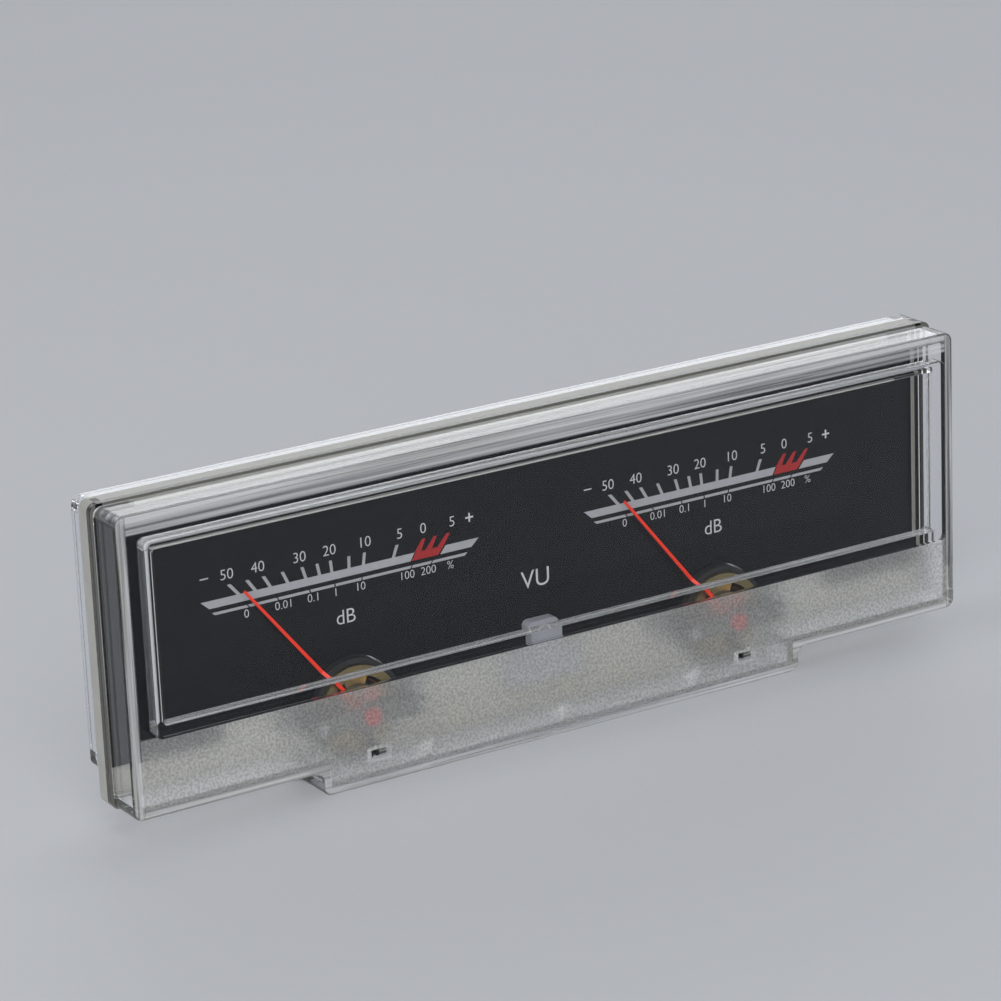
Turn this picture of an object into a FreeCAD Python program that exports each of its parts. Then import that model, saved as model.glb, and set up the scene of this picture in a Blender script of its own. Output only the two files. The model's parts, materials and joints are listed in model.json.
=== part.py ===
"""Twin moving-coil level meter in one clear moulded case.

Units are millimetres.  The frame stands on the step at the bottom of the case,
+Z is up, the window faces -Y, and the origin is under the middle of the case.
Depths in the code are counted backwards from the rim plane of the front cover.
"""
import FreeCAD, Part
import math
import os

from FreeCAD import Vector

os.makedirs("parts", exist_ok=True)

# How far cutting tools run past the surfaces that they open
overrun = 1.0

# Case outline, seen from the front
case_width = 134.0
case_height = 41.4
step_width = 78.0
step_drop = 3.4
corner_radius = 1.3
edge_radius = 0.5
cavity_corner = 0.4
flange_proud = 0.4

# Case layers, as depths behind the rim plane
cover_depth = 5.9
flange_thickness = 1.0
base_rim_depth = 2.1
rear_rim_depth = 2.2
rear_raise = 2.6
rear_raise_inset = 0.9
rear_cover_lift = 4.5
cover_wall = 1.5
base_wall = 1.5
rear_wall = 0.8
seat_gap = 0.05

# Window that stands proud of the rim
window_proud = 2.2
window_inset = 3.0
window_top_inset = 3.2
window_bottom = 11.3
window_corner = 0.9

# Zero adjusting slots and the gussets inside the cover
slot_width = 3.2
slot_height = 1.7
slot_below_pivot = 4.75
gusset_pitch = 22.0
gusset_thickness = 0.9
gusset_height = 2.6
gusset_length = 3.4

# Dial plate
dial_front = 8.3
dial_thickness = 0.6
dial_bottom = 7.8
dial_ear_length = 17.5
dial_ear_bottom = 4.9
dial_screw_inset = 13.5
dial_screw_height = 6.4
dial_screw_length = 1.0
dial_edge_gap = 0.25

# Base floor and what is moulded on it
floor_thickness = 1.2
top_bar_height = 1.4
top_bar_inset = 6.5
screw_post_radius = 1.9
screw_post_side_inset = 5.5
screw_post_low = 8.6
screw_post_top_inset = 5.6

# Movements
pivot_inset = 9.0
pivot_height = 5.4
ring_outer = 6.0
ring_inner = 4.8
ring_front = 6.7
ring_length = 4.1
core_radius = 3.4
core_front = 6.8
core_length = 3.7
spacer_half_angle = 24.0
spacer_length = 2.0
coil_gap = 0.3
former_thickness = 0.3
winding_thickness = 0.3
coil_width = 1.3
winding_side_gap = 0.1
staff_radius = 0.45
pivot_radius = 0.16

# Movement frame, bridge and jewel screws
frame_wall = 0.8
frame_front = 7.3
frame_plate_front = 12.2
frame_plate_thickness = 0.6
ear_reach = 11.5
ear_width = 3.0
ear_thickness = 0.8
ear_corner = 1.0
ring_seat_width = 0.5
post_x = 7.6
post_radius = 0.8
bridge_front = 2.6
bridge_thickness = 0.8
bridge_width = 2.6
bridge_eye_radius = 1.95
bridge_corner = 1.08
bridge_screw_radius = 0.35
bridge_screw_length = 2.2
bridge_screw_head = 0.4
bridge_screw_slot = 0.24
bridge_thread_spare = 0.3
jewel_radius = 0.75
jewel_head_radius = 1.25
jewel_head = 0.4
jewel_cup = 0.3
jewel_cup_depth = 0.48
jewel_cup_tip = 0.05
jewel_cup_mouth = 0.52
movement_hole_gap = 0.2

# Pointer
pointer_depth = 5.65
pointer_thickness = 0.3
pointer_length = 25.4
pointer_width = 0.55
pointer_tip_width = 0.35
pointer_rest_angle = -38.3
pointer_crank = 1.3
crank_start = 6.6
hub_radius = 1.15
hub_front = 5.0
collet_front = 4.25
needle_length = 0.5
arm_length = 3.4
arm_width = 0.6
weight_radius = 0.6
weight_length = 0.8

# Hairsprings and zero levers
spring_inner = 0.95
spring_turns = 3
spring_pitch = 0.8
spring_strip = 0.14
spring_height = 0.3
front_spring_depth = 4.35
rear_spring_depth = 11.65
collet_gap = 0.06
lever_depth = 3.5
lever_thickness = 0.4
lever_ring = 1.9
lever_width = 1.3
lever_gap = 0.06
lever_notch = 0.5
lever_wall_gap = 0.4
finger_width = 0.9
finger_height = 0.8
finger_gap = 0.1

# Lamp board, lamps and light diffuser
board_width = 40.0
board_height = 3.6
board_thickness = 0.8
board_bottom = -1.5
lamp_count = 4
lamp_pitch = 9.0
lamp_size = 1.6
diffuser_width = 5.0
diffuser_front = 6.7
diffuser_top = 11.3
diffuser_foot_width = 12.0
diffuser_foot_top = 6.0
diffuser_corner = 0.8
diffuser_bottom = 2.5
lamp_lens_radius = 0.58
lamp_height = 0.8
lamp_lens_height = 0.32

# Screws and terminals
screw_radius = 0.7
screw_head_radius = 1.4
screw_head_height = 0.6
screw_slot = 0.35
rear_screw_length = 3.6
rear_thread_spare = 0.5
movement_screw_length = 1.4
terminal_pitch = 5.0
terminal_size = 0.7
terminal_reach = 2.4
terminal_clearance = 0.1
terminal_height = 3.0
lamp_terminal_height = 1.0

# Worked out places
total_depth = (window_proud + cover_depth + flange_thickness + base_rim_depth
               + rear_rim_depth + rear_raise + terminal_reach)
rim_y = window_proud - total_depth / 2
flange_back = cover_depth + flange_thickness
base_back = flange_back + base_rim_depth
rear_rim_back = base_back + rear_rim_depth
rear_back = rear_rim_back + rear_raise
dial_back = dial_front + dial_thickness
floor_back = dial_back + floor_thickness
former_front = core_front - coil_gap - former_thickness
former_back = core_front + core_length + coil_gap + former_thickness
winding_front = former_front - winding_thickness
winding_back = former_back + winding_thickness
former_reach = core_radius + coil_gap + former_thickness
winding_reach = former_reach + winding_thickness
frame_radius = ring_outer + seat_gap + frame_wall
screw_post_x = case_width / 2 - screw_post_side_inset
screw_post_high = case_height - screw_post_top_inset
top_bar_length = case_width - 2 * top_bar_inset
dial_screw_x = case_width / 2 - dial_screw_inset
pivot_x = step_width / 2 - pivot_inset
side_x = {"left": -pivot_x, "right": pivot_x}


def box(x0, x1, d0, d1, z0, z1):
    """Block between two widths, two depths and two heights above the body edge."""
    low = Vector(x0, rim_y + d0, step_drop + z0)
    return Part.makeBox(x1 - x0, d1 - d0, z1 - z0, low)


def rod(radius, x, z, d0, d1):
    """Round bar along the depth."""
    start = Vector(x, rim_y + d0, step_drop + z)
    return Part.makeCylinder(radius, d1 - d0, start, Vector(0, 1, 0))


def cone(r0, r1, x, z, d0, d1):
    """Round taper along the depth."""
    start = Vector(x, rim_y + d0, step_drop + z)
    return Part.makeCone(r0, r1, d1 - d0, start, Vector(0, 1, 0))


def prism(points, d0, d1):
    """Solid whose section, in width and height, runs between two depths."""
    corners = [Vector(x, rim_y + d0, step_drop + z) for x, z in points]
    corners.append(corners[0])
    face = Part.Face(Part.makePolygon(corners))
    return face.extrude(Vector(0, d1 - d0, 0))


def side_prism(points, x0, x1):
    """Solid whose section, in depth and height, runs between two widths."""
    corners = [Vector(x0, rim_y + d, step_drop + z) for d, z in points]
    corners.append(corners[0])
    return Part.Face(Part.makePolygon(corners)).extrude(Vector(x1 - x0, 0, 0))


def round_depth_edges(solid, radius):
    """Fillet the edges that run along the depth."""
    edges = []
    for edge in solid.Edges:
        a = edge.Vertexes[0].Point
        b = edge.Vertexes[-1].Point
        if abs(a.x - b.x) < 1e-6 and abs(a.z - b.z) < 1e-6 and abs(a.y - b.y) > 1e-6:
            edges.append(edge)
    return solid.makeFillet(radius, edges)


def round_face_edges(solid, depth, radius):
    """Fillet the edges that lie in the plane at one depth."""
    y = rim_y + depth
    edges = []
    for edge in solid.Edges:
        limits = edge.BoundBox
        if abs(limits.YMin - y) < 1e-5 and abs(limits.YMax - y) < 1e-5:
            edges.append(edge)
    return solid.makeFillet(radius, edges)


def bevel_face_edges(solid, depth, size):
    """Chamfer the edges that lie in the plane at one depth."""
    y = rim_y + depth
    edges = []
    for edge in solid.Edges:
        limits = edge.BoundBox
        if abs(limits.YMin - y) < 1e-5 and abs(limits.YMax - y) < 1e-5:
            edges.append(edge)
    return solid.makeChamfer(size, edges)


def case_points(grow, low_edge=0.0):
    """Case outline with its step; grow is positive outwards on all sides but the foot."""
    half = case_width / 2 + grow
    step = step_width / 2 + min(grow, 0)
    low = low_edge - min(grow, 0)
    foot = -step_drop - min(grow, 0)
    top = case_height + grow
    return [(-half, top), (-half, low), (-step, low), (-step, foot),
            (step, foot), (step, low), (half, low), (half, top)]


def case_solid(grow, d0, d1, radius, low_edge=0.0):
    """Slab of the case's outline between two depths."""
    return round_depth_edges(prism(case_points(grow, low_edge), d0, d1), radius)


def window_solid(inset, d0, d1, radius):
    """Slab of the window's outline between two depths; inset is positive inwards."""
    half = case_width / 2 - window_inset - inset
    low = window_bottom + inset
    high = case_height - window_top_inset - inset
    points = [(-half, high), (-half, low), (half, low), (half, high)]
    return round_depth_edges(prism(points, d0, d1), radius)


def fused(shapes):
    """One solid from several that touch or overlap."""
    return shapes[0].multiFuse(shapes[1:]).removeSplitter()


def gusset(x):
    """Triangular stiffener between the cover's front wall and its floor."""
    half = gusset_thickness / 2
    low = cover_wall - step_drop
    return side_prism([(cover_wall, low), (cover_wall + gusset_length, low),
                       (cover_wall, low + gusset_height)], x - half, x + half)


def front_cover():
    """Clear cover: shell, proud window, flange, gussets and the two adjusting slots."""
    shell = round_face_edges(case_solid(0, 0, cover_depth, corner_radius), 0, edge_radius)
    flange = case_solid(flange_proud, cover_depth, flange_back, corner_radius)
    window = window_solid(0, -window_proud, cover_wall, window_corner)
    window = round_face_edges(window, -window_proud, edge_radius)
    body = fused([shell, flange, window])
    cavity = case_solid(-cover_wall, cover_wall, flange_back, cavity_corner)
    inner_window = window_solid(cover_wall, cover_wall - window_proud, cover_wall, cavity_corner)
    body = body.cut(cavity).cut(inner_window)
    gussets = [gusset(x) for x in (-gusset_pitch, 0, gusset_pitch)]
    body = fused([body] + gussets)
    slot_z = pivot_height - slot_below_pivot
    for x in side_x.values():
        slot = box(x - slot_width / 2, x + slot_width / 2, -overrun, cover_wall + overrun,
                   slot_z - slot_height / 2, slot_z + slot_height / 2)
        body = body.cut(slot)
    return body


def movement_opening(x, d0, d1):
    """Hole that the back of a movement drops through."""
    return rod(frame_radius + movement_hole_gap, x, pivot_height, d0, d1)


def screw_places():
    return [(sx * screw_post_x, z) for sx in (-1, 1) for z in (screw_post_low, screw_post_high)]


def rear_base():
    """Milky base: rim, floor with movement openings, top bar and screw posts."""
    rim = case_solid(flange_proud, flange_back, base_back, corner_radius)
    inner = case_solid(flange_proud - base_wall, flange_back, dial_back, corner_radius / 2)
    floor = case_solid(-rear_wall - seat_gap, dial_back, floor_back, corner_radius / 2)
    body = fused([rim.cut(inner), floor])
    top = case_height + flange_proud - base_wall
    bar = box(-top_bar_length / 2, top_bar_length / 2, flange_back, dial_front - seat_gap,
              top - top_bar_height, top)
    posts = [rod(screw_post_radius, x, z, floor_back, rear_rim_back) for x, z in screw_places()]
    body = fused([body, bar] + posts)
    for x in side_x.values():
        body = body.cut(movement_opening(x, base_back - overrun, floor_back + overrun))
    for x, z in screw_places():
        body = body.cut(rod(screw_radius, x, z, rear_back - rear_screw_length - rear_thread_spare,
                            rear_back))
    for x, z in movement_screw_places() + dial_screw_places():
        body = body.cut(rod(screw_radius, x, z, dial_back - overrun, floor_back + overrun))
    for x, z, start in terminal_places():
        if start < floor_back:
            body = body.cut(terminal_hole(x, z, dial_back - overrun, floor_back + overrun))
    return body


def terminal_hole(x, z, d0, d1):
    """Square hole with a little room round a solder pin."""
    half = terminal_size / 2 + terminal_clearance
    return box(x - half, x + half, d0, d1, z - half, z + half)


def movement_screw_places():
    reach = ear_reach - ear_width / 2
    return [(x + sx * reach, pivot_height) for x in side_x.values() for sx in (-1, 1)]


def rear_cover():
    """Clear rear cover: a tray with a raised middle and four countersunk screw holes."""
    rim = case_solid(flange_proud, base_back, rear_rim_back, corner_radius, rear_cover_lift)
    raised = case_solid(-rear_raise_inset, rear_rim_back, rear_back, corner_radius, rear_cover_lift)
    raised = bevel_face_edges(raised, rear_back, edge_radius)
    body = fused([rim, raised])
    over_floor = case_solid(-rear_wall, base_back, floor_back + seat_gap, corner_radius / 2)
    inner_rim = case_solid(-rear_wall, base_back, rear_rim_back - rear_wall, corner_radius / 2,
                           rear_cover_lift)
    inner_low = -rear_raise_inset - rear_wall
    inner = case_solid(inner_low, base_back, rear_back - rear_wall, corner_radius / 2,
                       rear_cover_lift)
    body = body.cut(over_floor).cut(inner_rim).cut(inner)
    for x, z in screw_places():
        body = fused([body, rod(screw_post_radius, x, z, rear_rim_back, rear_back - rear_wall)])
    for x, z in screw_places():
        body = body.cut(rod(screw_radius + seat_gap, x, z, rear_rim_back - overrun,
                            rear_back + overrun))
        body = body.cut(rod(screw_head_radius + seat_gap, x, z, rear_back - screw_head_height,
                            rear_back + overrun))
    for x, z, _ in terminal_places():
        body = body.cut(terminal_hole(x, z, rear_back - 2 * rear_wall, rear_back + overrun))
    return body


def dial_plate():
    """Thin dial with lower ears and a half-round relief over each movement."""
    half = case_width / 2 - cover_wall - dial_edge_gap
    top = case_height - cover_wall - dial_edge_gap
    inner = case_width / 2 - dial_ear_length
    plate = fused([box(-half, half, dial_front, dial_back, dial_bottom, top),
                   box(-half, -inner, dial_front, dial_back, dial_ear_bottom, top),
                   box(inner, half, dial_front, dial_back, dial_ear_bottom, top)])
    bar_top = case_height + flange_proud - base_wall
    plate = plate.cut(box(-half - overrun, half + overrun, dial_front - overrun,
                          dial_back + overrun,
                          bar_top - dial_edge_gap, top + overrun))
    for x in side_x.values():
        plate = plate.cut(movement_opening(x, dial_front - overrun, dial_back + overrun))
        ear = ear_reach + dial_edge_gap
        plate = plate.cut(box(x - ear, x + ear, dial_front - overrun, dial_back + overrun,
                              dial_bottom - overrun,
                              pivot_height + ear_width / 2 + dial_edge_gap))
    for x, z in dial_screw_places():
        plate = plate.cut(rod(screw_radius + seat_gap, x, z, dial_front - overrun,
                              dial_back + overrun))
    return plate


def dial_screw_places():
    return [(sx * dial_screw_x, dial_screw_height) for sx in (-1, 1)]


def dial_screws():
    """Two screws through the dial's ears into the floor of the base."""
    return Part.makeCompound([slotted_screw(x, z, dial_front - screw_head_height,
                                            dial_thickness + dial_screw_length,
                                            screw_head_radius, -1)
                              for x, z in dial_screw_places()])


def light_diffuser():
    """White light guide: a foot over the lamps and a tab in front of the dial."""
    back = dial_front - seat_gap
    tab = box(-diffuser_width / 2, diffuser_width / 2, diffuser_front, back,
              diffuser_bottom, diffuser_top)
    edges = []
    for edge in tab.Edges:
        limits = edge.BoundBox
        if abs(limits.ZMin - step_drop - diffuser_top) < 1e-6 and limits.YLength > 0.1:
            if limits.XLength < 1e-6:
                edges.append(edge)
    tab = tab.makeFillet(diffuser_corner, edges)
    foot = box(-diffuser_foot_width / 2, diffuser_foot_width / 2, diffuser_front,
               dial_back, diffuser_bottom, diffuser_foot_top)
    return fused([tab, foot])


def lamp_board():
    back = dial_back
    board = box(-board_width / 2, board_width / 2, back - board_thickness, back,
                board_bottom, board_bottom + board_height)
    return board


def lamp_group():
    """Small surface lamps in a row on the board."""
    lamps = []
    face = dial_back - board_thickness
    z = board_bottom + board_height / 2
    for i in range(lamp_count):
        x = (i - (lamp_count - 1) / 2) * lamp_pitch
        body = box(x - lamp_size / 2, x + lamp_size / 2, face - lamp_height, face,
                   z - lamp_size / 2, z + lamp_size / 2)
        lens = rod(lamp_lens_radius, x, z, face - lamp_height - lamp_lens_height,
                   face - lamp_height)
        lamps.append(fused([body, lens]))
    return Part.makeCompound(lamps)


def slotted_screw(x, z, head_front, length, head_radius, facing):
    """Screw with a slotted head; facing is -1 for a head towards the window, 1 for the back."""
    if facing < 0:
        head = rod(head_radius, x, z, head_front, head_front + screw_head_height)
        shank = rod(screw_radius, x, z, head_front, head_front + screw_head_height + length)
        slot = box(x - head_radius, x + head_radius, head_front - overrun,
                   head_front + screw_head_height / 2, z - screw_slot / 2, z + screw_slot / 2)
    else:
        head = rod(head_radius, x, z, head_front - screw_head_height, head_front)
        shank = rod(screw_radius, x, z, head_front - screw_head_height - length, head_front)
        slot = box(x - head_radius, x + head_radius, head_front - screw_head_height / 2,
                   head_front + overrun, z - screw_slot / 2, z + screw_slot / 2)
    return fused([head, shank]).cut(slot)


def rear_screws():
    length = rear_screw_length - screw_head_height
    return Part.makeCompound([slotted_screw(x, z, rear_back, length, screw_head_radius, 1)
                              for x, z in screw_places()])


def movement_screws():
    front = dial_back - ear_thickness - screw_head_height
    length = ear_thickness + movement_screw_length - screw_head_height
    return Part.makeCompound([slotted_screw(x, z, front, length, screw_head_radius, -1)
                              for x, z in movement_screw_places()])


def terminal_places():
    """Centre of each solder pin, with the depth where it starts."""
    places = []
    plate_back = frame_plate_front + frame_plate_thickness
    for x in side_x.values():
        for sx in (-1, 1):
            places.append((x + sx * terminal_pitch / 2, pivot_height - terminal_height, plate_back))
    for sx in (-1, 1):
        places.append((sx * terminal_pitch / 2, lamp_terminal_height, dial_back))
    return places


def terminal_pins():
    pins = []
    half = terminal_size / 2
    for x, z, start in terminal_places():
        pins.append(box(x - half, x + half, start, rear_back + terminal_reach,
                        z - half, z + half))
    return Part.makeCompound(pins)


def annulus(outer, inner, x, z, d0, d1):
    """Round tube along the depth."""
    return rod(outer, x, z, d0, d1).cut(rod(inner, x, z, d0, d1))


def yoke_ring(x):
    return annulus(ring_outer, ring_inner, x, pivot_height, ring_front, ring_front + ring_length)


def core_magnet(x):
    return rod(core_radius, x, pivot_height, core_front, core_front + core_length)


def core_spacers(x):
    """Two brass keys that hold the core in the yoke, above and below the coil's swing."""
    mid = core_front + core_length / 2
    ring = annulus(ring_inner, core_radius, x, pivot_height, mid - spacer_length / 2,
                   mid + spacer_length / 2)
    reach = 2 * ring_inner
    spread = reach * math.tan(math.radians(spacer_half_angle))
    keys = []
    for sz in (-1, 1):
        wedge = prism([(x, pivot_height), (x - spread, pivot_height + sz * reach),
                       (x + spread, pivot_height + sz * reach)],
                      mid - spacer_length, mid + spacer_length)
        keys.append(ring.common(wedge))
    return Part.makeCompound(keys)


def movement_frame(x):
    """Moulded cradle: a cup for the yoke, two fixing ears and two posts for the bridge."""
    z = pivot_height
    cup = annulus(frame_radius, ring_outer + seat_gap, x, z, frame_front, frame_plate_front)
    plate = rod(frame_radius, x, z, frame_plate_front, frame_plate_front + frame_plate_thickness)
    seat = annulus(ring_outer + seat_gap, ring_outer - ring_seat_width, x, z,
                   ring_front + ring_length,
                   frame_plate_front)
    ears = box(x - ear_reach, x + ear_reach, dial_back - ear_thickness, dial_back,
               z - ear_width / 2, z + ear_width / 2)
    ears = round_depth_edges(ears, ear_corner)
    ears = ears.cut(rod(ring_outer + seat_gap, x, z, dial_back - ear_thickness - overrun,
                        dial_back + overrun))
    posts = [rod(post_radius, x + sx * post_x, z, bridge_front + bridge_thickness,
                 dial_back - ear_thickness / 2) for sx in (-1, 1)]
    body = fused([cup, plate, seat, ears] + posts)
    body = body.cut(rod(jewel_radius + seat_gap, x, z, frame_plate_front - overrun,
                        frame_plate_front + frame_plate_thickness + overrun))
    for sx in (-1, 1):
        screw_x = x + sx * (ear_reach - ear_width / 2)
        body = body.cut(rod(screw_radius + seat_gap, screw_x, z,
                            dial_back - ear_thickness - overrun, dial_back + overrun))
        post = x + sx * post_x
        body = body.cut(rod(bridge_screw_radius, post, z, bridge_front,
                            bridge_front + bridge_screw_length + bridge_thread_spare))
    return body


def front_bridge(x):
    """Brass bridge across the front of the movement, widened round the jewel screw."""
    z = pivot_height
    back = bridge_front + bridge_thickness
    half = post_x + post_radius
    bar = box(x - half, x + half, bridge_front, back, z - bridge_width / 2, z + bridge_width / 2)
    bar = round_depth_edges(bar, bridge_corner)
    eye = rod(bridge_eye_radius, x, z, bridge_front, back)
    body = fused([bar, eye]).cut(rod(jewel_radius + seat_gap, x, z, bridge_front - overrun,
                                     back + overrun))
    for sx in (-1, 1):
        body = body.cut(rod(bridge_screw_radius + seat_gap, x + sx * post_x, z,
                            bridge_front - overrun, back + overrun))
    return body


def bridge_screws(x):
    screws = []
    for sx in (-1, 1):
        post = x + sx * post_x
        head_front = bridge_front - bridge_screw_head
        head = rod(post_radius, post, pivot_height, head_front, bridge_front)
        shank = rod(bridge_screw_radius - seat_gap, post, pivot_height,
                    bridge_front - bridge_screw_head / 2, bridge_front + bridge_screw_length)
        slot = box(post - post_radius, post + post_radius, head_front - overrun,
                   head_front + bridge_screw_head / 2,
                   pivot_height - bridge_screw_slot / 2, pivot_height + bridge_screw_slot / 2)
        screws.append(fused([head, shank]).cut(slot))
    return Part.makeCompound(screws)


def jewel_screws(x):
    """Front and rear jewel screws with the conical cups that carry the staff's points."""
    z = pivot_height
    front_tip = collet_front - jewel_cup
    front = fused([rod(jewel_head_radius, x, z, bridge_front - jewel_head, bridge_front),
                   rod(jewel_radius, x, z, bridge_front - jewel_head / 2, front_tip)])
    front = front.cut(cone(jewel_cup_tip, jewel_cup_mouth, x, z, front_tip - jewel_cup_depth,
                           front_tip))
    front = front.cut(box(x - jewel_head_radius, x + jewel_head_radius,
                          bridge_front - jewel_head - overrun, bridge_front - jewel_head / 2,
                          z - screw_slot / 2, z + screw_slot / 2))
    rear_tip = frame_plate_front
    plate_back = rear_tip + frame_plate_thickness
    rear = rod(jewel_radius, x, z, rear_tip, plate_back + seat_gap)
    rear = rear.cut(cone(jewel_cup_mouth, jewel_cup_tip, x, z, rear_tip,
                         rear_tip + jewel_cup_depth))
    return Part.makeCompound([front, rear])


def coil_loop(x, reach, d0, d1, thickness, width):
    """Rectangular loop round the core, in line with the axis."""
    z = pivot_height
    outer = box(x - reach, x + reach, d0, d1, z - width / 2, z + width / 2)
    inner = box(x - reach + thickness, x + reach - thickness, d0 + thickness, d1 - thickness,
                z - width, z + width)
    return outer.cut(inner)


def turned(shape, x, degrees):
    """Turn a copy about the movement's axis, clockwise seen from the window."""
    copy = shape.copy()
    copy.rotate(Vector(x, 0, step_drop + pivot_height), Vector(0, 1, 0), degrees)
    return copy


def coil_former(x):
    loop = coil_loop(x, former_reach, former_front, former_back, former_thickness, coil_width)
    return turned(loop, x, pointer_rest_angle)


def coil_winding(x):
    loop = coil_loop(x, winding_reach, winding_front, winding_back, winding_thickness,
                     coil_width - 2 * winding_side_gap)
    return turned(loop, x, pointer_rest_angle)


def staffs(x):
    """Front and rear staffs, ending in points that stop just short of the jewel cups."""
    z = pivot_height
    front = fused([rod(staff_radius, x, z, collet_front, winding_front),
                   cone(pivot_radius / 2, pivot_radius, x, z, collet_front - needle_length,
                        collet_front)])
    rear_end = rear_spring_depth + spring_height
    rear_tip = frame_plate_front + needle_length - jewel_cup
    rear = fused([rod(staff_radius, x, z, winding_back, rear_end),
                  cone(pivot_radius, pivot_radius / 2, x, z, rear_end, rear_tip)])
    return Part.makeCompound([front, rear])


def pointer(x):
    """Tapered pointer, cranked back past the yoke, with its hub and three balance arms."""
    z = pivot_height
    d0 = pointer_depth - pointer_thickness / 2
    d1 = d0 + pointer_thickness
    far0, far1 = d0 + pointer_crank, d1 + pointer_crank
    bend = z + crank_start
    bent = bend + pointer_crank
    top = z + pointer_length
    base = pointer_width / 2
    tip = pointer_tip_width / 2
    outline = prism([(x - base, z), (x - tip, top), (x + tip, top), (x + base, z)], d0, far1)
    blade = outline.common(side_prism([(d0, z), (d1, z), (d1, bend), (far1, bent), (far1, top),
                                       (far0, top), (far0, bent), (d0, bend)],
                                      x - base, x + base))
    half = arm_width / 2
    tail = box(x - half, x + half, d0, d1, z - arm_length, z)
    cross = box(x - arm_length, x + arm_length, d0, d1, z - half, z + half)
    hub = rod(hub_radius, x, z, hub_front, winding_front)
    hub = fused([hub, blade, tail, cross]).cut(rod(staff_radius, x, z, hub_front - overrun,
                                                  winding_front + overrun))
    return turned(hub, x, pointer_rest_angle)


def balance_weights(x):
    """Small wound weights near the ends of the tail and cross arms."""
    z = pivot_height
    weights = []
    d0 = hub_front
    place = arm_length + weight_radius
    for ox, oz in ((0, -place), (-place, 0), (place, 0)):
        weights.append(rod(weight_radius, x + ox, z + oz, d0, d0 + weight_length))
    return turned(Part.makeCompound(weights), x, pointer_rest_angle)


def spiral_strip(x, depth, inner):
    """Flat spiral spring made of half turns whose centres step from side to side."""
    z = step_drop + pivot_height
    y = rim_y + depth
    quarter = spring_pitch / 4

    def side(offset):
        arcs = []
        for k in range(2 * spring_turns):
            centre = x + (quarter if k % 2 else -quarter)
            radius = inner + quarter + k * spring_pitch / 2 + offset
            sign = 1 if k % 2 == 0 else -1
            start = Vector(centre + sign * radius, y, z)
            middle = Vector(centre, y, z + sign * radius)
            end = Vector(centre - sign * radius, y, z)
            arcs.append(Part.Arc(start, middle, end).toShape())
        return arcs

    near = side(0)
    far = side(spring_strip)
    caps = [Part.makeLine(near[0].Vertexes[0].Point, far[0].Vertexes[0].Point),
            Part.makeLine(near[-1].Vertexes[-1].Point, far[-1].Vertexes[-1].Point)]
    wire = Part.Wire(Part.__sortEdges__(near + far + caps))
    return Part.Face(wire).extrude(Vector(0, spring_height, 0))


def spring_outer():
    """Distance from the axis to the outside of the last half turn's end."""
    return spring_inner + spring_turns * spring_pitch


def front_hairspring(x):
    return spiral_strip(x, front_spring_depth, spring_inner)


def rear_hairspring(x):
    return spiral_strip(x, rear_spring_depth, spring_inner)


def collets(x):
    """Rings on the two staffs that hold the hairsprings' inner ends."""
    radius = spring_inner - collet_gap
    front = annulus(radius, staff_radius, x, pivot_height, front_spring_depth,
                    front_spring_depth + spring_height)
    rear = annulus(radius, staff_radius, x, pivot_height, rear_spring_depth,
                   rear_spring_depth + spring_height)
    return Part.makeCompound([front, rear])


def zero_lever(x):
    """Lever on the front jewel screw: an eye, a spring finger and a forked tail at the slot."""
    z = pivot_height
    back = lever_depth + lever_thickness
    eye = rod(lever_ring, x, z, lever_depth, back)
    tail = box(x - lever_width / 2, x + lever_width / 2, lever_depth, back,
               z - slot_below_pivot - slot_height / 2, z)
    tab_z = z - slot_below_pivot
    tab = box(x - lever_width / 2, x + lever_width / 2, cover_wall + lever_wall_gap, back,
              tab_z - slot_height / 2, tab_z + slot_height / 2)
    notch = box(x - lever_notch / 2, x + lever_notch / 2, cover_wall, lever_depth,
                tab_z - slot_height, tab_z + slot_height)
    finger_x = x + spring_outer() - finger_width / 2
    finger = box(finger_x, finger_x + finger_width, lever_depth,
                 front_spring_depth + spring_height, z + finger_gap, z + finger_gap + finger_height)
    arm = box(x, finger_x + finger_width, lever_depth, back, z - finger_height / 2,
              z + finger_gap + finger_height)
    body = fused([eye, tail, tab.cut(notch), finger, arm])
    return body.cut(rod(jewel_radius + lever_gap, x, z, lever_depth - overrun, back + overrun))


def build():
    nodes = {
        "front_cover": front_cover(),
        "rear_base": rear_base(),
        "rear_cover": rear_cover(),
        "dial_plate": dial_plate(),
        "dial_screws": dial_screws(),
        "light_diffuser": light_diffuser(),
        "lamp_board": lamp_board(),
        "lamps": lamp_group(),
        "rear_screws": rear_screws(),
        "movement_screws": movement_screws(),
        "terminal_pins": terminal_pins(),
    }
    makers = {
        "yoke_ring": yoke_ring, "core_magnet": core_magnet, "core_spacers": core_spacers,
        "movement_frame": movement_frame, "front_bridge": front_bridge,
        "bridge_screws": bridge_screws, "jewel_screws": jewel_screws,
        "coil_former": coil_former, "coil_winding": coil_winding, "staffs": staffs,
        "pointer": pointer, "balance_weights": balance_weights,
        "front_hairspring": front_hairspring, "rear_hairspring": rear_hairspring,
        "collets": collets, "zero_lever": zero_lever,
    }
    for side, x in side_x.items():
        for name, maker in makers.items():
            nodes[side + "_" + name] = maker(x)
    return nodes


for name, shape in build().items():
    if not shape.isValid():
        print("not valid:", name)
    shape.exportStep("parts/" + name + ".step")
    print(name, len(shape.Solids), round(shape.Volume, 3))
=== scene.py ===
import json
import math

import bmesh
import bpy
from mathutils import Matrix, Vector

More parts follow.
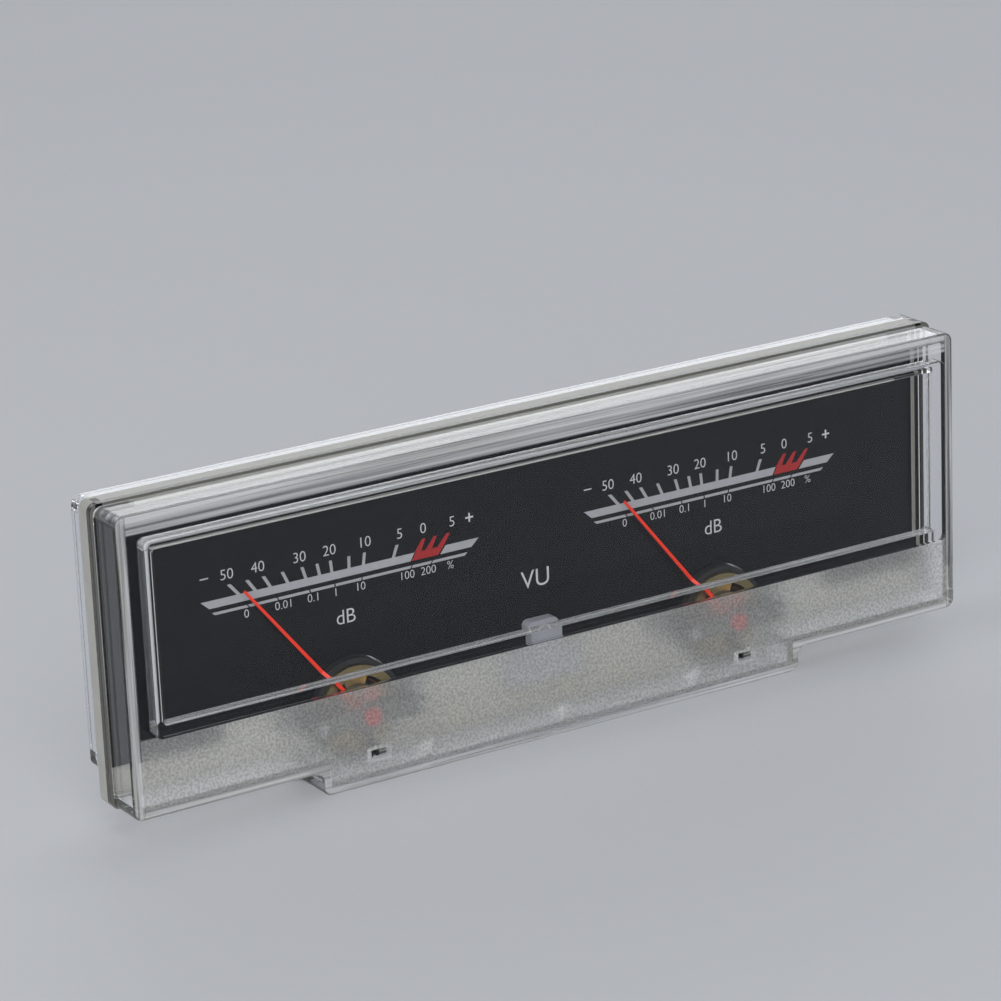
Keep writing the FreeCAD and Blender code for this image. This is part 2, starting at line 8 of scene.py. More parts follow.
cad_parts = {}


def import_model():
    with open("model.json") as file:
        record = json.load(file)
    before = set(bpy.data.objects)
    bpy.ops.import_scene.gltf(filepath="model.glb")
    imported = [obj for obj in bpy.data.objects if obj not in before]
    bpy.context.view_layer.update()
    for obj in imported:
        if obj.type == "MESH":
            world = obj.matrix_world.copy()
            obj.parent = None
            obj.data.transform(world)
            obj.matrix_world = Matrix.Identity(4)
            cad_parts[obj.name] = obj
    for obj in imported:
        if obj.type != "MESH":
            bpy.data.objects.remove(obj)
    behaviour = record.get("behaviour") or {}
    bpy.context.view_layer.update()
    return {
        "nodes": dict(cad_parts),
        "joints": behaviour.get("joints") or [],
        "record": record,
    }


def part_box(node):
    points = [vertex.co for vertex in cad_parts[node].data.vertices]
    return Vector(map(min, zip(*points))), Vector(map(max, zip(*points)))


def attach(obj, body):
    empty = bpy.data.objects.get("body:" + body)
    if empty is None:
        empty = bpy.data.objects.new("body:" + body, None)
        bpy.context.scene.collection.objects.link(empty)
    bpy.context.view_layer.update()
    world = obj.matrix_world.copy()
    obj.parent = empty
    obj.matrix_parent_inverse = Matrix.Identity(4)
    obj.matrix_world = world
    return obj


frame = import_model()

MM = 0.001

# Places taken from the frame, in metres
case_low, case_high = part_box("front_cover")
dial_low, dial_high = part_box("dial_plate")
dial_y = dial_low.y
pivots = {joint["child"]: Vector(joint["pos_m"]) for joint in frame["joints"]
          if joint["name"].endswith("pointer_turn")}
pivot_x, _, pivot_z = next(iter(pivots.values()))

# Sizes of the case that the frame doesn't give
WINDOW_PROUD = 2.2 * MM
CASE_BODY_FOOT = 3.4 * MM
WINDOW_FOOT = CASE_BODY_FOOT + 11.3 * MM
STEP_HALF = 39.0 * MM
GUSSET_PITCH = 22.0 * MM
SLOT_HEIGHT = CASE_BODY_FOOT + 0.65 * MM
rim_y = case_low.y + WINDOW_PROUD

# Clear cover: widths of the bands round its front face, how far the frost keeps from the window, and
# how deep behind the front face both still show
RIM_BAND = 1.9 * MM
TOP_BAND = 3.05 * MM
FOOT_BAND = 1.2 * MM
FROST_DROP = 0.3 * MM
FACE_DEPTH = 0.12 * MM

# Clear cover: pale marks over its gussets and round its slots
GUSSET_MARK_HALF = 0.55 * MM
GUSSET_MARK_START = 1.6 * MM
GUSSET_MARK_TOP = 4.3 * MM
SLOT_MARK_HALF_WIDTH = 1.72 * MM
SLOT_MARK_HALF_HEIGHT = 0.95 * MM

# How wide the edges of the masks are
BAND_EDGE = 0.25 * MM
MARK_EDGE = 0.1 * MM
SHARP_EDGE = 0.05 * MM

# How much of the light each mark scatters; flow marks vary between two amounts. The pale bands of the
# rim are painted light, for light carried through the walls, and the pale streaks on faces that look up
# are partly a painted highlight
TOP_STREAK_HIGHLIGHT = (0.02, 0.35)
LEVEL_RIM_LIGHT = (0.2, 0.7)
UPRIGHT_RIM_LIGHT = (0.1, 0.7)
FROST_VEIL = 0.31
GUSSET_VEIL = 0.6
SLOT_VEIL = 0.45

# Flow marks, which also carry the painted highlight of the faces that look up and the painted light of
# the rim: noise drawn out along one axis, and the slope from which a face counts as looking up
STREAK_SCALE = 2200
STREAK_DETAIL = 2.0
STREAK_RANGE = (0.35, 0.7)
TOP_STRETCH = (0.01, 1, 1)
LEVEL_STRETCH = (0.012, 1, 1)
UPRIGHT_STRETCH = (1, 1, 0.02)
UPWARD = 0.7
UPWARD_EDGE = 0.2

# Clear plastic and its frost
CLEAR_IOR = 1.49
REAR_ROUGHNESS = 0.02
COVER_ROUGHNESS = 0.015
FROST_ROUGHNESS = 0.3
# Low specular level and grey reflection tint of the cover: painted shade, dimming its reflections to
# stand for dark surroundings
COVER_SPECULAR = 0.36
COVER_REFLECTION_SHADE = (0.4, 0.4, 0.4, 1)
COVER_COLOUR = (0.99, 0.995, 1.0, 1)
LAMP_TINT = (0.94, 0.95, 0.96, 1)
PEBBLE_SCALE = 2700
PEBBLE_DETAIL = 2.0
PEBBLE_RELIEF = 0.12 * MM
GRAIN_RANGE = (0.38, 0.62)
GRAIN_DARK = (0.6, 0.6, 0.585)
GRAIN_PALE = (1.0, 1.0, 0.98)

# Rear cover: faint waves of its moulded faces
REAR_COLOUR = (0.97, 0.985, 1.0, 1)
WAVE_SCALE = 180
WAVE_STRENGTH = 0.04
WAVE_DETAIL = 1.0
WAVE_RELIEF = 0.02 * MM

# Opaque surfaces, and how wide the painted shade on the wall beside the dial is
FINE_RELIEF = 0.03 * MM
FINE_DETAIL = 3.0
DRIFT_RANGE = (0.3, 0.7)
PAINTED_SHADE_WIDTH = 1.0 * MM
PAINTED_SHADE_COLOUR = (0.012, 0.012, 0.014, 1)

# Camera, solved from the corners of the case in the photograph
CAMERA_PLACE = Vector((-277.9, -442.65, 199.82)) * MM
CAMERA_RIGHT = Vector((0.84403, -0.53476, -0.04057))
CAMERA_FORWARD = Vector((0.49912, 0.81089, -0.30598))
CAMERA_LENS = 144.69
CAMERA_NEAR = 0.01
SENSOR = 36.0

# Stage, in metres and watts; each lamp has a name, a place, two sides and a power
FLOOR_HALF = 12.0
FLOOR_COLOUR = (0.7, 0.71, 0.73, 1)
FLOOR_ROUGHNESS = 0.6
WORLD_COLOUR = (0.84, 0.88, 0.96, 1)
WORLD_STRENGTH = 0.34
LAMP_AIM = Vector((0, 0, 0.02))
LAMPS = (
    ("key", (-0.55, -0.85, 0.6), (1.0, 1.0), 5.8),
    ("top", (0.0, 0.15, 0.9), (0.9, 0.3), 1.3),
    ("back", (0.6, 0.95, 0.45), (1.3, 0.3), 1.5),
    ("side", (-1.0, 0.1, 0.35), (0.3, 0.5), 1.2),
)
CLEAR_BOUNCES = 24
ALL_BOUNCES = 32

# Printed scale, as places about the pivot in millimetres and degrees from upright
PRINT_THICK = 0.03
THINNING = 0.022
LETTER_STEPS = 6
BAR = (18.15, 19.25)
TICK_TOP = 20.9
TICK_WIDTH = 0.44
LEFT_END = -48.3
ZERO_MARK = 30.3
ZERO_GAP = 0.5
RED_END = 39.1
GREY_START = 39.7
RIGHT_END = 47.8
THIN_BAR = (17.15, 17.53)
THIN_LEAD = 0.5
SPIKES = (31.05, 34.6, 38.2)
SPIKE_SINK = 0.05
SPIKE_FOOT = 0.52
SPIKE_TIP = 0.26
TICKS = (-39.6, -34.9, -30.1, -23.9, -16.7, -10.8, -5.3, 2.5, 9.05, 21.9)
THIN_GAPS = (-40.1, -30.3, -16.9, -4.7, 9.0, 31.2, 38.3)
GAP_WIDTH = 0.22
UPPER_TEXT = ((-38.0, "50"), (-29.9, "40"), (-16.3, "30"), (-5.1, "20"),
              (9.1, "10"), (21.6, "5"), (29.3, "0"), (37.4, "5"))
MINUS_ANGLE = -43.0
PLUS_ANGLE = 41.6
SIGN_WIDTH = 1.25
MINUS_STROKE = 0.16
PLUS_STROKE = 0.24
UPPER_HEIGHT = 22.4
UPPER_SIZE = 2.1
LOWER_TEXT = ((-42.4, "0"), (-29.9, "0.01"), (-16.6, "0.1"), (-4.7, "1"), (9.0, "10"),
              (31.1, "100"), (38.7, "200"), (45.4, "%"))
LOWER_HEIGHT = 16.35
LOWER_SIZE = 1.65
UNIT_HEIGHT = 12.65
UNIT_SIZE = 2.9
TITLE_HEIGHT = 11.5
TITLE_SIZE = 3.7


def camera():
    """Camera at the photograph's place, turned and zoomed as the photograph was."""
    data = bpy.data.cameras.new("camera")
    data.lens = CAMERA_LENS
    data.sensor_width = SENSOR
    data.clip_start = CAMERA_NEAR
    back = -CAMERA_FORWARD.normalized()
    right = (CAMERA_RIGHT - back * CAMERA_RIGHT.dot(back)).normalized()
    up = back.cross(right)
    turn = Matrix((right, up, back)).transposed().to_4x4()
    cam = bpy.data.objects.new("camera", data)
    cam.matrix_world = Matrix.Translation(CAMERA_PLACE) @ turn
    bpy.context.scene.collection.objects.link(cam)
    bpy.context.scene.camera = cam


def area_light(name, place, size, power):
    """Rectangular lamp that looks at the part."""
    data = bpy.data.lights.new(name, "AREA")
    data.shape = "RECTANGLE"
    data.size, data.size_y = size
    data.energy = power
    light = bpy.data.objects.new(name, data)
    light.location = place
    light.rotation_euler = (LAMP_AIM - Vector(place)).to_track_quat("-Z", "Y").to_euler()
    bpy.context.scene.collection.objects.link(light)


def new_material(name):
    """Material with its node tree and its shader."""
    mat = bpy.data.materials.new(name)
    mat.use_nodes = True
    tree = mat.node_tree
    return mat, tree, tree.nodes["Principled BSDF"]


def feed(tree, socket, value):
    """Give a socket another socket's output or a plain value."""
    if isinstance(value, bpy.types.NodeSocket):
        tree.links.new(value, socket)
    else:
        socket.default_value = value


def maths(tree, operation, *values):
    """Result of one operation on sockets or numbers."""
    node = tree.nodes.new("ShaderNodeMath")
    node.operation = operation
    for socket, value in zip(node.inputs, values):
        feed(tree, socket, value)
    return node.outputs["Value"]


def product(tree, *values):
    """All values multiplied together."""
    total = values[0]
    for value in values[1:]:
        total = maths(tree, "MULTIPLY", total, value)
    return total


def inverse(tree, mask):
    """1 where a mask is 0, and 0 where it is 1."""
    return maths(tree, "SUBTRACT", 1.0, mask)


def distance_from(tree, coordinate, place):
    """How far a coordinate is from a place, on either side."""
    return maths(tree, "ABSOLUTE", maths(tree, "SUBTRACT", coordinate, place))


def map_range(tree, value, source, target):
    """A value carried from one range to another, and held at its ends."""
    node = tree.nodes.new("ShaderNodeMapRange")
    for name, number in zip(("From Min", "From Max", "To Min", "To Max"), (*source, *target)):
        node.inputs[name].default_value = number
    tree.links.new(value, node.inputs["Value"])
    return node.outputs["Result"]


def past(tree, coordinate, edge, width):
    """1 past the edge of a coordinate and 0 before it."""
    return map_range(tree, coordinate, (edge - width / 2, edge + width / 2), (0.0, 1.0))


def before(tree, coordinate, edge, width):
    """1 before the edge of a coordinate and 0 past it."""
    return map_range(tree, coordinate, (edge - width / 2, edge + width / 2), (1.0, 0.0))


def split(tree, vector):
    """The three coordinates of a vector."""
    node = tree.nodes.new("ShaderNodeSeparateXYZ")
    tree.links.new(vector, node.inputs["Vector"])
    return node.outputs


def noise_texture(tree, vector, scale, detail):
    """Noise at a place, about 0.5 on average."""
    node = tree.nodes.new("ShaderNodeTexNoise")
    node.inputs["Scale"].default_value = scale
    node.inputs["Detail"].default_value = detail
    tree.links.new(vector, node.inputs["Vector"])
    return node.outputs["Fac"]


def bump(tree, shader, height, strength, distance):
    """Surface relief, with a number or a mask for its strength."""
    node = tree.nodes.new("ShaderNodeBump")
    node.inputs["Distance"].default_value = distance
    feed(tree, node.inputs["Strength"], strength)
    tree.links.new(height, node.inputs["Height"])
    tree.links.new(node.outputs["Normal"], shader.inputs["Normal"])


def noise_bump(tree, shader, scale, detail, strength, distance):
    """Surface relief from a noise in the object's own coordinates."""
    coords = tree.nodes.new("ShaderNodeTexCoord")
    noise = noise_texture(tree, coords.outputs["Object"], scale, detail)
    bump(tree, shader, noise, strength, distance)
    return noise


def two_tone(tree, value, places, dark, pale):
    """Colour that goes from dark to pale as a value goes from one place to another."""
    ramp = tree.nodes.new("ShaderNodeValToRGB")
    for stop, place, colour in zip(ramp.color_ramp.elements, places, (dark, pale)):
        stop.position = place
        stop.color = (*colour, 1)
    tree.links.new(value, ramp.inputs["Fac"])
    return ramp.outputs["Color"]


def mixed_colour(tree, shader, share, first, second):
    """The shader's colour goes from the first to the second as a mask goes from 0 to 1."""
    mix = tree.nodes.new("ShaderNodeMix")
    mix.data_type = "RGBA"
    feed(tree, mix.inputs["A"], first)
    feed(tree, mix.inputs["B"], second)
    tree.links.new(share, mix.inputs["Factor"])
    tree.links.new(mix.outputs["Result"], shader.inputs["Base Color"])


def solid_material(name, colour, roughness, metallic=0.0, scale=900, strength=0.15, spread=0.06,
                   coat=0.0, specular=0.5):
    """Opaque material with a fine relief, whose colour drifts a little with the same noise."""
    mat, tree, shader = new_material(name)
    shader.inputs["Specular IOR Level"].default_value = specular
    shader.inputs["Roughness"].default_value = roughness
    shader.inputs["Metallic"].default_value = metallic
    shader.inputs["Coat Weight"].default_value = coat
    noise = noise_bump(tree, shader, scale, FINE_DETAIL, strength, FINE_RELIEF)
    dark = [channel * (1 - spread) for channel in colour]
    pale = [min(1, channel * (1 + spread)) for channel in colour]
    tree.links.new(two_tone(tree, noise, DRIFT_RANGE, dark, pale), shader.inputs["Base Color"])
    return mat


def let_lamps_through(tree, shader):
    """Clear plastic that lamps shine through, so that what it holds is lit."""
    path = tree.nodes.new("ShaderNodeLightPath")
    open_way = tree.nodes.new("ShaderNodeBsdfTransparent")
    open_way.inputs["Color"].default_value = LAMP_TINT
    mix = tree.nodes.new("ShaderNodeMixShader")
    out = tree.nodes["Material Output"]
    tree.links.new(path.outputs["Is Shadow Ray"], mix.inputs["Fac"])
    tree.links.new(shader.outputs["BSDF"], mix.inputs[1])
    tree.links.new(open_way.outputs["BSDF"], mix.inputs[2])
    tree.links.new(mix.outputs["Shader"], out.inputs["Surface"])


def streaks(tree, coords, stretch, veil):
    """Flow marks, which also shape painted light: noise drawn out along one axis, spread between two
    amounts.
    """
    mapping = tree.nodes.new("ShaderNodeMapping")
    mapping.inputs["Scale"].default_value = stretch
    tree.links.new(coords.outputs["Object"], mapping.inputs["Vector"])
    noise = noise_texture(tree, mapping.outputs["Vector"], STREAK_SCALE, STREAK_DETAIL)
    return map_range(tree, noise, STREAK_RANGE, veil)


def top_streaks_and_highlight(tree, coords):
    """Long pale streaks on the faces that look up: partly flow marks, partly a painted highlight of the
    light from above.
    """
    _, _, slope = split(tree, coords.outputs["Normal"])
    upward = past(tree, slope, UPWARD, UPWARD_EDGE)
    return product(tree, upward, streaks(tree, coords, TOP_STRETCH, TOP_STREAK_HIGHLIGHT))


def scatter(tree, shader, veil):
    """Part of the light scatters at the surface instead of going through."""
    tree.links.new(inverse(tree, veil), shader.inputs["Transmission Weight"])


def rear_cover_material():
    """Clear plastic with long pale streaks on its upper faces: partly flow marks, partly a painted
    highlight.
    """
    mat, tree, shader = new_material("clear_rear")
    shader.inputs["Base Color"].default_value = REAR_COLOUR
    shader.inputs["Roughness"].default_value = REAR_ROUGHNESS
    shader.inputs["IOR"].default_value = CLEAR_IOR
    coords = tree.nodes.new("ShaderNodeTexCoord")
    scatter(tree, shader, top_streaks_and_highlight(tree, coords))
    noise_bump(tree, shader, WAVE_SCALE, WAVE_DETAIL, WAVE_STRENGTH, WAVE_RELIEF)
    let_lamps_through(tree, shader)
    return mat


def front_masks(tree, aside, y, z):
    """Masks of the rim's face, of what lies between its side bands and of what lies inside all bands."""
    face = before(tree, y, rim_y + FACE_DEPTH, MARK_EDGE)
    between = before(tree, aside, case_high.x - RIM_BAND, BAND_EDGE)
    under = before(tree, z, case_high.z - TOP_BAND, BAND_EDGE)
    over_body_foot = past(tree, z, CASE_BODY_FOOT + FOOT_BAND, BAND_EDGE)
    in_step = product(tree, before(tree, aside, STEP_HALF - FOOT_BAND, BAND_EDGE),
                      past(tree, z, FOOT_BAND, BAND_EDGE))
    inside = product(tree, between, under, maths(tree, "MAXIMUM", over_body_foot, in_step))
    return face, between, inside


def rim_light_and_flow_marks(tree, coords, rim, between):
    """Painted light along the bands of the rim, for light carried through the walls, streaked as flow
    marks: level ones, and upright ones at its two sides.
    """
    level = product(tree, rim, between, streaks(tree, coords, LEVEL_STRETCH, LEVEL_RIM_LIGHT))
    upright = product(tree, rim, inverse(tree, between),
                      streaks(tree, coords, UPRIGHT_STRETCH, UPRIGHT_RIM_LIGHT))
    return maths(tree, "MAXIMUM", level, upright)


def gusset_veil(tree, aside, y, z):
    """Pale marks over the middle gusset and the two beside it."""
    nearest = maths(tree, "MINIMUM", aside, distance_from(tree, aside, GUSSET_PITCH))
    return product(tree, before(tree, nearest, GUSSET_MARK_HALF, MARK_EDGE),
                   past(tree, y, rim_y + GUSSET_MARK_START, MARK_EDGE),
                   before(tree, z, GUSSET_MARK_TOP, MARK_EDGE), GUSSET_VEIL)


def slot_veil(tree, aside, z):
    """Pale marks round the two slots."""
    beside = distance_from(tree, aside, abs(pivot_x))
    above = distance_from(tree, z, SLOT_HEIGHT)
    return product(tree, before(tree, beside, SLOT_MARK_HALF_WIDTH, SHARP_EDGE),
                   before(tree, above, SLOT_MARK_HALF_HEIGHT, SHARP_EDGE), SLOT_VEIL)


def pebbles(tree, shader, coords, frost):
    """Roughness, relief and grain of the frosted band."""
    rough = map_range(tree, frost, (0.0, 1.0), (COVER_ROUGHNESS, FROST_ROUGHNESS))
    tree.links.new(rough, shader.inputs["Roughness"])
    noise = noise_texture(tree, coords.outputs["Object"], PEBBLE_SCALE, PEBBLE_DETAIL)
    bump(tree, shader, noise, frost, PEBBLE_RELIEF)
    grain = two_tone(tree, noise, GRAIN_RANGE, GRAIN_DARK, GRAIN_PALE)
    mixed_colour(tree, shader, frost, COVER_COLOUR, grain)


def front_cover_material():
    """Clear plastic with a frosted, pebbled band below the window, and pale painted light streaked as
    flow marks at the rim.
    """
    mat, tree, shader = new_material("clear_cover")
    shader.inputs["IOR"].default_value = CLEAR_IOR
    # Dimmed reflections: painted shade standing for dark surroundings
    shader.inputs["Specular IOR Level"].default_value = COVER_SPECULAR
    shader.inputs["Specular Tint"].default_value = COVER_REFLECTION_SHADE
    coords = tree.nodes.new("ShaderNodeTexCoord")
    x, y, z = split(tree, coords.outputs["Object"])
    aside = maths(tree, "ABSOLUTE", x)
    face, between, inside = front_masks(tree, aside, y, z)
    below = before(tree, z, WINDOW_FOOT - FROST_DROP, BAND_EDGE)
    frost = product(tree, face, below, inside)
    rim = product(tree, face, inverse(tree, inside))
    veil = product(tree, frost, FROST_VEIL)
    # The rim's pale bands and the pale streaks on faces that look up are painted light
    for mark in (rim_light_and_flow_marks(tree, coords, rim, between), gusset_veil(tree, aside, y, z),
                 slot_veil(tree, aside, z), top_streaks_and_highlight(tree, coords)):
        veil = maths(tree, "MAXIMUM", veil, mark)
    scatter(tree, shader, veil)
    pebbles(tree, shader, coords, frost)
    let_lamps_through(tree, shader)
    return mat


def milky_material():
    """Milky base, with painted shade on its walls beside the dial: near black above the dial's foot,
    where the window shows them.
    """
    mat = solid_material("milky_plastic", (0.46, 0.45, 0.41), 0.35, scale=400, coat=0.2)
    tree = mat.node_tree
    shader = tree.nodes["Principled BSDF"]
    coords = tree.nodes.new("ShaderNodeTexCoord")
    x, y, z = split(tree, coords.outputs["Object"])
    aside = maths(tree, "ABSOLUTE", x)
    # Painted shade: the walls beside the dial, in front of it and above its foot, are coloured near
    # black
    black = product(tree, before(tree, aside, dial_high.x + PAINTED_SHADE_WIDTH, SHARP_EDGE),
                    past(tree, aside, dial_high.x, SHARP_EDGE),
                    before(tree, y, dial_y, SHARP_EDGE),
                    past(tree, z, dial_low.z, SHARP_EDGE))
    pale = shader.inputs["Base Color"].links[0].from_socket
    mixed_colour(tree, shader, black, pale, PAINTED_SHADE_COLOUR)
    return mat


def dress(node, material):
    """Put a material on a piece of the frame, in place of what it has."""
    mesh = frame["nodes"][node].data
    mesh.materials.clear()
    mesh.materials.append(material)


def materials():
    """One material for each slot of the record, and another on the front cover."""
    made = {
        "clear_shell": rear_cover_material(),
        "milky_plastic": milky_material(),
        # The dial's low specular level dims its reflections: painted shade, standing for dark
        # surroundings
        "dial_black": solid_material("dial_black", (0.005, 0.005, 0.007), 0.05, scale=250,
                                     strength=0.01, specular=0.15),
        "white_plastic": solid_material("white_plastic", (0.36, 0.37, 0.4), 0.3, scale=300),
        "board": solid_material("board", (0.42, 0.4, 0.35), 0.5),
        "lamp_lens": solid_material("lamp_lens", (0.5, 0.46, 0.34), 0.2, coat=0.5),
        "black_screw": solid_material("black_screw", (0.02, 0.02, 0.022), 0.35, 0.6),
        "dull_nickel": solid_material("dull_nickel", (0.2, 0.195, 0.18), 0.42, 1.0),
        "red_sealed_brass": solid_material("red_sealed_brass", (0.45, 0.004, 0.008), 0.5,
                                           specular=0.2),
        "screw_steel": solid_material("screw_steel", (0.55, 0.55, 0.56), 0.3, 1.0),
        "tinned_brass": solid_material("tinned_brass", (0.66, 0.63, 0.55), 0.35, 1.0),
        "plated_steel": solid_material("plated_steel", (0.42, 0.34, 0.17), 0.34, 1.0),
        "magnet": solid_material("magnet", (0.3, 0.3, 0.31), 0.45, 1.0),
        "brass": solid_material("brass", (0.62, 0.45, 0.2), 0.3, 1.0),
        "frame_plastic": solid_material("frame_plastic", (0.018, 0.018, 0.02), 0.45),
        "bare_aluminium": solid_material("bare_aluminium", (0.75, 0.75, 0.75), 0.3, 1.0),
        "copper_wire": solid_material("copper_wire", (0.6, 0.22, 0.08), 0.35, 0.7, scale=5000,
                                      strength=0.6),
        "pivot_steel": solid_material("pivot_steel", (0.6, 0.6, 0.62), 0.2, 1.0),
        "pointer_red": solid_material("pointer_red", (1.0, 0.035, 0.008), 0.4, scale=600),
        "bronze_strip": solid_material("bronze_strip", (0.6, 0.4, 0.2), 0.3, 1.0),
    }
    for part in frame["record"]["subparts"]:
        dress(part["node"], made[part["material_slot"]])
    dress("front_cover", front_cover_material())


def across(degrees, height):
    """Offset from the pivot at a height, along a line at an angle."""
    return height * math.tan(math.radians(degrees))


def slanted(start, end, low, high):
    """Four corners between two lines through the pivot and two heights."""
    return [(across(start, low), low), (across(end, low), low),
            (across(end, high), high), (across(start, high), high)]


def tapered(degrees, low, high, foot, tip):
    """Four corners of a stroke along a line through the pivot, from half widths at its two ends."""
    foot_x, tip_x = across(degrees, low), across(degrees, high)
    return [(foot_x - foot, low), (foot_x + foot, low), (tip_x + tip, high), (tip_x - tip, high)]


def tick(degrees):
    """Stroke of even width above the scale's bar."""
    half = TICK_WIDTH / 2 / math.cos(math.radians(degrees))
    return tapered(degrees, BAR[1], TICK_TOP, half, half)


def spike(degrees):
    """Stroke of the red zone, narrower at its top."""
    return tapered(degrees, BAR[1] - SPIKE_SINK, TICK_TOP, SPIKE_FOOT, SPIKE_TIP)


def thin_bar_shapes():
    """Thin bar below the scale, cut where the lower numbers stand."""
    low, high = THIN_BAR
    mid = (low + high) / 2
    ends = (LEFT_END - THIN_LEAD, *THIN_GAPS, RIGHT_END)
    shapes = []
    for start, end in zip(ends, ends[1:]):
        left = across(start, mid) + (GAP_WIDTH / 2 if start in THIN_GAPS else 0)
        right = across(end, mid) - (GAP_WIDTH / 2 if end in THIN_GAPS else 0)
        left_lean = across(start, high - mid)
        right_lean = across(end, high - mid)
        shapes.append([(left - left_lean, low), (right - right_lean, low),
                       (right + right_lean, high), (left + left_lean, high)])
    return shapes


def grey_shapes():
    """The scale's bar on both sides of the red zone, its ticks and the thin bar."""
    bars = [slanted(LEFT_END, ZERO_MARK - ZERO_GAP, *BAR), slanted(GREY_START, RIGHT_END, *BAR)]
    return bars + [tick(degrees) for degrees in TICKS] + thin_bar_shapes()


def red_shapes():
    """The red part of the bar and its spikes."""
    return [slanted(ZERO_MARK, RED_END, *BAR)] + [spike(degrees) for degrees in SPIKES]


def block(x, half_width, low, high):
    """Four corners of an upright block about a place."""
    return [(x - half_width, low), (x + half_width, low), (x + half_width, high),
            (x - half_width, high)]


def sign_shapes():
    """A minus and a plus beyond the two ends of the upper numbers."""
    minus, plus = across(MINUS_ANGLE, UPPER_HEIGHT), across(PLUS_ANGLE, UPPER_HEIGHT)
    reach = SIGN_WIDTH / 2
    minus_half, plus_half = MINUS_STROKE / 2, PLUS_STROKE / 2
    return [
        block(minus, reach, UPPER_HEIGHT - minus_half, UPPER_HEIGHT + minus_half),
        block(plus, reach, UPPER_HEIGHT - plus_half, UPPER_HEIGHT + plus_half),
        block(plus, plus_half, UPPER_HEIGHT - reach, UPPER_HEIGHT - plus_half),
        block(plus, plus_half, UPPER_HEIGHT + plus_half, UPPER_HEIGHT + reach),
    ]


def printed(shapes, origin):
    """Thin printed shapes on the dial's face, as a mesh under way."""
    bm = bmesh.new()
    front = dial_y - PRINT_THICK * MM
    for points in shapes:
        near = [bm.verts.new((origin.x + x * MM, front, origin.z + z * MM)) for x, z in points]
        far = [bm.verts.new((origin.x + x * MM, dial_y, origin.z + z * MM)) for x, z in points]
        bm.faces.new(near)
        bm.faces.new(list(reversed(far)))
        count = len(points)
        for i in range(count):
            j = (i + 1) % count
            bm.faces.new((near[i], far[i], far[j], near[j]))
    return bm


def add_text(bm, words, place, size):
    """Plain lettering as a mesh, centred on a place on the dial."""
    data = bpy.data.curves.new("words", "FONT")
    data.body = words
    data.size = size * MM
    data.extrude = PRINT_THICK * MM / 2
    data.offset = -THINNING * MM
    data.align_x = "CENTER"
    data.align_y = "CENTER"
    data.resolution_u = LETTER_STEPS
    holder = bpy.data.objects.new("words", data)
    bpy.context.scene.collection.objects.link(holder)
    bpy.context.view_layer.update()
    graph = bpy.context.evaluated_depsgraph_get()
    mesh = bpy.data.meshes.new_from_object(holder.evaluated_get(graph))
    mesh.transform(Matrix.Rotation(math.radians(90), 4, "X"))
    low = min(v.co.z for v in mesh.vertices)
    high = max(v.co.z for v in mesh.vertices)
    left = min(v.co.x for v in mesh.vertices)
    right = max(v.co.x for v in mesh.vertices)
    centre = Vector(((left + right) / 2, 0, (low + high) / 2))
    target = Vector((place.x, dial_y - PRINT_THICK * MM / 2, place.z))
    mesh.transform(Matrix.Translation(target - centre))
    bm.from_mesh(mesh)
    bpy.data.objects.remove(holder)
    bpy.data.meshes.remove(mesh)


def add_number(bm, pivot, degrees, height, words, size):
    """Lettering on a line through the pivot, at a height above it."""
    add_text(bm, words, pivot + Vector((across(degrees, height), 0, height)) * MM, size)


def finish_mesh(bm, name, material, body):
    """Turn a mesh under way into a piece that rides on a body."""
    mesh = bpy.data.meshes.new(name)
    bmesh.ops.recalc_face_normals(bm, faces=bm.faces)
    bm.to_mesh(mesh)
    bm.free()
    mesh.materials.append(material)
    piece = bpy.data.objects.new(name, mesh)
    bpy.context.scene.collection.objects.link(piece)
    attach(piece, body)


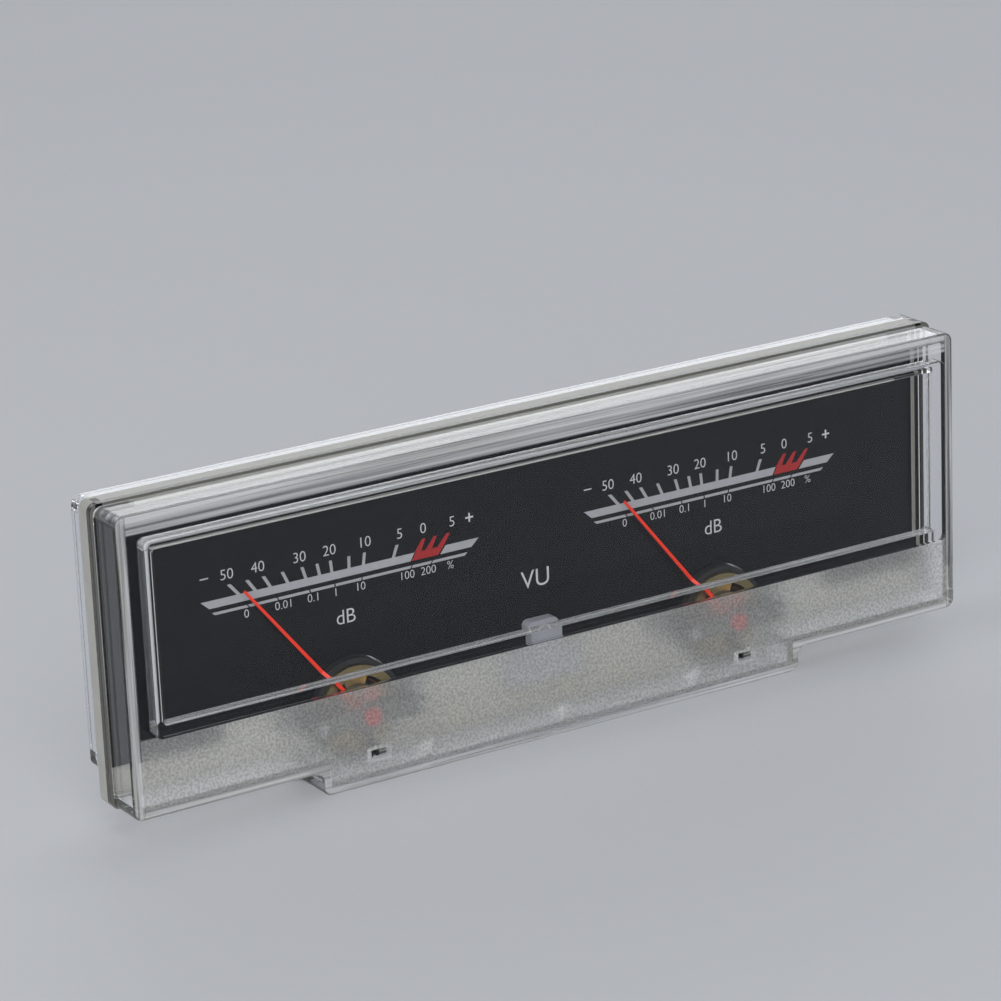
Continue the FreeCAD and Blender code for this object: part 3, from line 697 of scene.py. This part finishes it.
def dial_print():
    """Scale, lettering and red zone about each pivot, and the unit between them."""
    grey = solid_material("print_grey", (0.42, 0.42, 0.44), 0.5, scale=1500, spread=0.04)
    pale = solid_material("print_pale", (0.62, 0.62, 0.64), 0.5, scale=1500, spread=0.04)
    red = solid_material("print_red", (0.42, 0.012, 0.012), 0.5, scale=1500, spread=0.05)
    for body, pivot in pivots.items():
        side = body.split("_")[0]
        finish_mesh(printed(grey_shapes(), pivot), side + "_scale_print", grey, "case")
        bm = printed(sign_shapes(), pivot)
        for degrees, words in UPPER_TEXT:
            add_number(bm, pivot, degrees, UPPER_HEIGHT, words, UPPER_SIZE)
        for degrees, words in LOWER_TEXT:
            add_number(bm, pivot, degrees, LOWER_HEIGHT, words, LOWER_SIZE)
        add_number(bm, pivot, 0.0, UNIT_HEIGHT, "dB", UNIT_SIZE)
        finish_mesh(bm, side + "_lettering", pale, "case")
        finish_mesh(printed(red_shapes(), pivot), side + "_red_zone_print", red, "case")
    bm = bmesh.new()
    add_text(bm, "VU", Vector((0, 0, pivot_z + TITLE_HEIGHT * MM)), TITLE_SIZE)
    finish_mesh(bm, "unit_print", pale, "case")


def stage():
    """Plain pale floor under the part."""
    mesh = bpy.data.meshes.new("floor")
    bm = bmesh.new()
    bmesh.ops.create_grid(bm, x_segments=1, y_segments=1, size=FLOOR_HALF)
    bm.to_mesh(mesh)
    bm.free()
    floor = bpy.data.objects.new("floor", mesh)
    bpy.context.scene.collection.objects.link(floor)
    mat, _, shader = new_material("floor")
    shader.inputs["Base Color"].default_value = FLOOR_COLOUR
    shader.inputs["Roughness"].default_value = FLOOR_ROUGHNESS
    mesh.materials.append(mat)


def lighting():
    """Soft studio light, and enough bounces for light to pass the clear walls."""
    scene = bpy.context.scene
    scene.view_settings.view_transform = "Standard"
    scene.cycles.transmission_bounces = CLEAR_BOUNCES
    scene.cycles.max_bounces = ALL_BOUNCES
    world = bpy.data.worlds.new("world")
    scene.world = world
    world.use_nodes = True
    background = world.node_tree.nodes["Background"]
    background.inputs["Color"].default_value = WORLD_COLOUR
    background.inputs["Strength"].default_value = WORLD_STRENGTH
    for name, place, size, power in LAMPS:
        area_light(name, place, size, power)


camera()
lighting()
stage()
materials()
dial_print()
